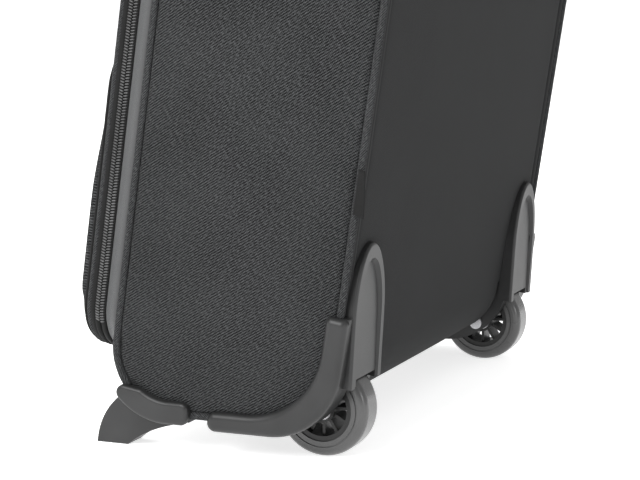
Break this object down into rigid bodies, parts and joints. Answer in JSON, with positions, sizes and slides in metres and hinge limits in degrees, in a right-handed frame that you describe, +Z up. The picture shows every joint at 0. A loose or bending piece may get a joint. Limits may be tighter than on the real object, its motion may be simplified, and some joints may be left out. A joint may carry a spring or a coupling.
{
  "type": "rolling laptop case",
  "caption": "Soft-sided two-wheeled laptop case leaning on two moulded feet, with a zipped front lid and a telescopic pull handle.",
  "frame": {"origin": "on the floor under the middle of the case's bounding box", "axes": "+Z up, front with the zipped lid towards -Y, back panel and wheels towards +Y, +X across the case"},
  "size_m": [0.3982, 0.2496, 0.4312],
  "materials": {
    "twill": "woven twill",
    "back_fabric": "coated weave",
    "satin_gusset": "satin",
    "zip_tape": "woven tape with coil",
    "lining": "plain weave",
    "moulded_grey": "fine satin grain",
    "black_plastic": "fine grain",
    "board": "plain",
    "tyre_pu": "satin",
    "rim_plastic": "satin",
    "steel": "plain",
    "tube_metal": "anodised satin",
    "zip_metal": "black nickel",
    "plate_metal": "brushed",
    "tag_cloth": "woven ribbon"
  },
  "bodies": {
    "case": {"body_wrap": "back_fabric", "side_panel_right": "twill", "side_panel_left": "twill", "piping_right": "twill", "piping_left": "twill", "opening_gusset": "satin_gusset", "main_zip_body_half": "zip_tape", "handle_bezel": "black_plastic", "outer_tubes": "tube_metal", "tube_foot": "black_plastic", "tube_guides": "black_plastic", "carry_brackets": "black_plastic", "carry_pins": "steel", "back_board": "board", "base_board": "board", "rear_lining": "lining", "laptop_pad": "lining", "sleeve_strap": "zip_tape", "file_divider": "lining", "seam_tag": "tag_cloth", "wheel_housing_right": "moulded_grey", "axle_right": "steel", "axle_spacers_right": "steel", "foot_right": "moulded_grey", "wheel_housing_left": "moulded_grey", "axle_left": "steel", "axle_spacers_left": "steel", "foot_left": "moulded_grey"},
    "wheel_right": {"tyre_right": "tyre_pu", "rim_right": "rim_plastic", "bearings_right": "steel"},
    "wheel_left": {"tyre_left": "tyre_pu", "rim_left": "rim_plastic", "bearings_left": "steel"},
    "lid": {"lid_shell": "twill", "lid_organiser": "lining", "front_pocket": "twill", "pocket_zip": "zip_tape", "upper_zip": "zip_tape", "badge": "plate_metal", "main_zip_lid_half": "zip_tape"},
    "handle_lower": {"mid_tubes": "tube_metal", "mid_collars": "black_plastic"},
    "handle_upper": {"inner_tubes": "tube_metal", "grip": "black_plastic"},
    "handle_release": {"button": "moulded_grey", "release_rods": "steel", "button_springs": "steel"},
    "carry_grip": {"carry_handle": "black_plastic"},
    "main_right_slider": {"slider_main_right": "zip_metal"},
    "main_right_pull": {"pull_main_right": "zip_metal"},
    "main_left_slider": {"slider_main_left": "zip_metal"},
    "main_left_pull": {"pull_main_left": "zip_metal"},
    "pocket_slider": {"slider_pocket": "zip_metal"},
    "pocket_pull": {"pull_pocket": "zip_metal"},
    "upper_slider": {"slider_upper": "zip_metal"},
    "upper_pull": {"pull_upper": "zip_metal"}
  },
  "joints": [
    {"name": "wheel_right_spin", "type": "hinge", "parent": "case", "child": "wheel_right", "pos_m": [0.1595, 0.05145, 0.0325], "axis": [1, 0, 0], "continuous": true},
    {"name": "wheel_left_spin", "type": "hinge", "parent": "case", "child": "wheel_left", "pos_m": [-0.1595, 0.05145, 0.0325], "axis": [1, 0, 0], "continuous": true},
    {"name": "lid_fold", "type": "hinge", "parent": "case", "child": "lid", "pos_m": [0, -0.10954, 0.06096], "axis": [1, 0, 0], "range_deg": [0, 90]},
    {"name": "handle_lower_slide", "type": "slide", "parent": "case", "child": "handle_lower", "axis": [0, 0.1633, 0.9866], "range_m": [0, 0.27]},
    {"name": "handle_upper_slide", "type": "slide", "parent": "handle_lower", "child": "handle_upper", "axis": [0, 0.1633, 0.9866], "range_m": [0, 0.26]},
    {"name": "handle_release_press", "type": "slide", "parent": "handle_upper", "child": "handle_release", "axis": [0, -0.1633, -0.9866], "range_m": [0, 0.003], "stiffness_N_per_m": 400, "springref_m": -0.004},
    {"name": "carry_grip_lift", "type": "hinge", "parent": "case", "child": "carry_grip", "pos_m": [0, 0.05816, 0.41634], "axis": [-1, 0, 0], "range_deg": [0, 95]},
    {"name": "main_right_slider_run", "type": "slide", "parent": "case", "child": "main_right_slider", "axis": [1, 0, 0], "range_m": [0, 0.13]},
    {"name": "main_right_pull_swing", "type": "hinge", "parent": "main_right_slider", "child": "main_right_pull", "pos_m": [0.009, -0.05246, 0.40576], "axis": [0, -0.9866, 0.1633], "range_deg": [0, 100]},
    {"name": "main_left_slider_run", "type": "slide", "parent": "case", "child": "main_left_slider", "axis": [-1, 0, 0], "range_m": [0, 0.13]},
    {"name": "main_left_pull_swing", "type": "hinge", "parent": "main_left_slider", "child": "main_left_pull", "pos_m": [-0.009, -0.05246, 0.40576], "axis": [0, 0.9866, -0.1633], "range_deg": [0, 100]},
    {"name": "pocket_slider_run", "type": "slide", "parent": "lid", "child": "pocket_slider", "axis": [1, 0, 0], "range_m": [0, 0.25]},
    {"name": "pocket_pull_swing", "type": "hinge", "parent": "pocket_slider", "child": "pocket_pull", "pos_m": [-0.128, -0.08946, 0.2857], "axis": [-1, 0, 0], "range_deg": [0, 95]},
    {"name": "upper_slider_run", "type": "slide", "parent": "lid", "child": "upper_slider", "axis": [1, 0, 0], "range_m": [0, 0.19]},
    {"name": "upper_pull_swing", "type": "hinge", "parent": "upper_slider", "child": "upper_pull", "pos_m": [-0.098, -0.07803, 0.35476], "axis": [-1, 0, 0], "range_deg": [0, 95]}
  ]
}
